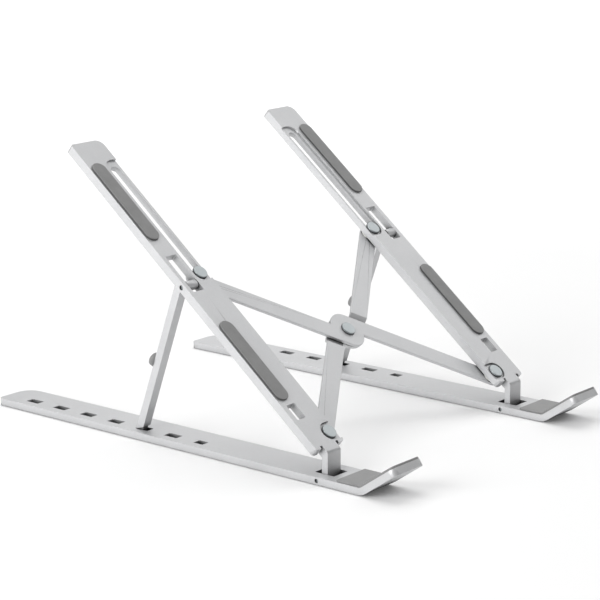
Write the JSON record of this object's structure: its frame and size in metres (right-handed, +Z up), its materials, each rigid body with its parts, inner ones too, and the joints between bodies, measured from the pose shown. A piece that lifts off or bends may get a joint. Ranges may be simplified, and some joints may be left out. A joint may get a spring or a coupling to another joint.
{
  "type": "folding laptop stand",
  "caption": "Folding aluminium laptop stand: slotted base rails with front hooks, inclined padded arms, prop struts, and crossed bars that let the sides close together.",
  "frame": {"origin": "middle of the stand's footprint, at the table", "axes": "+X to the user's right, +Y from the hooks to the rear, +Z up; stored open, propped in the fifth slot from the rear"},
  "size_m": [0.1634, 0.247, 0.1361],
  "materials": {
    "aluminium": "fine blasted, silver anodised",
    "steel": "plain turned",
    "silicone": "matte silicone",
    "nylon": "plain",
    "dark_nylon": "plain"
  },
  "bodies": {
    "base_left": {"base_rail_left": "aluminium", "base_hinge_pin_left": "steel", "hook_pad_left": "silicone", "foot_front_left": "silicone", "foot_rear_left": "silicone"},
    "lifting_arm_left": {"arm_left": "aluminium", "strut_pin_left": "steel", "arm_pad_upper_left": "silicone", "arm_pad_lower_left": "silicone", "front_rivet_left": "steel", "front_head_washer_left": "dark_nylon", "front_washer_left": "nylon"},
    "prop_left": {"strut_left": "aluminium", "strut_bumper_left": "silicone"},
    "base_right": {"base_rail_right": "aluminium", "base_hinge_pin_right": "steel", "hook_pad_right": "silicone", "foot_front_right": "silicone", "foot_rear_right": "silicone"},
    "lifting_arm_right": {"arm_right": "aluminium", "strut_pin_right": "steel", "arm_pad_upper_right": "silicone", "arm_pad_lower_right": "silicone", "front_rivet_right": "steel", "front_head_washer_right": "dark_nylon", "front_washer_right": "nylon"},
    "prop_right": {"strut_right": "aluminium", "strut_bumper_right": "silicone"},
    "upper_bar": {"cross_bar_upper": "aluminium", "centre_rivet": "steel", "centre_washer": "nylon", "centre_head_washer": "dark_nylon", "slider_rivet_left": "steel", "slider_head_washer_left": "dark_nylon", "slider_bushing_left": "nylon"},
    "lower_bar": {"cross_bar_lower": "aluminium", "slider_rivet_right": "steel", "slider_head_washer_right": "dark_nylon", "slider_bushing_right": "nylon"}
  },
  "joints": [
    {"name": "tilt_left", "type": "hinge", "parent": "base_left", "child": "lifting_arm_left", "pos_m": [-0.0711, -0.08, 0.0021], "axis": [1, 0, 0], "range_deg": [0, 47.3]},
    {"name": "prop_left_swing", "type": "hinge", "parent": "lifting_arm_left", "child": "prop_left", "pos_m": [-0.0748, -0.00046, 0.07736], "axis": [1, 0, 0], "range_deg": [-71, 0]},
    {"name": "scissor_front_left", "type": "hinge", "parent": "lifting_arm_left", "child": "lower_bar", "pos_m": [-0.065, -0.07076, 0.01577], "axis": [0, -0.632, 0.7749], "range_deg": [0, 47.38]},
    {"name": "scissor_centre", "type": "hinge", "parent": "lower_bar", "child": "upper_bar", "pos_m": [0, -0.03229, 0.04605], "axis": [0, -0.632, 0.7749], "range_deg": [-94.86, 0]},
    {"name": "scissor_front_right", "type": "hinge", "parent": "upper_bar", "child": "lifting_arm_right", "pos_m": [0.065, -0.07076, 0.01577], "axis": [0, -0.632, 0.7749], "range_deg": [0, 47.48]},
    {"name": "tilt_right", "type": "hinge", "parent": "lifting_arm_right", "child": "base_right", "pos_m": [0.0711, -0.08, 0.0021], "axis": [1, 0, 0], "range_deg": [-47.4, 0]},
    {"name": "prop_right_swing", "type": "hinge", "parent": "lifting_arm_right", "child": "prop_right", "pos_m": [0.0748, -0.00046, 0.07736], "axis": [1, 0, 0], "range_deg": [-71, 0]}
  ],
  "couplings": [
    {"joint": "prop_left_swing", "follows": "tilt_left", "ratio": -1.5},
    {"joint": "prop_right_swing", "follows": "tilt_left", "ratio": -1.5},
    {"joint": "tilt_right", "follows": "tilt_left", "ratio": -1},
    {"joint": "scissor_centre", "follows": "scissor_front_left", "ratio": -2},
    {"joint": "scissor_front_right", "follows": "scissor_front_left", "ratio": 1}
  ]
}
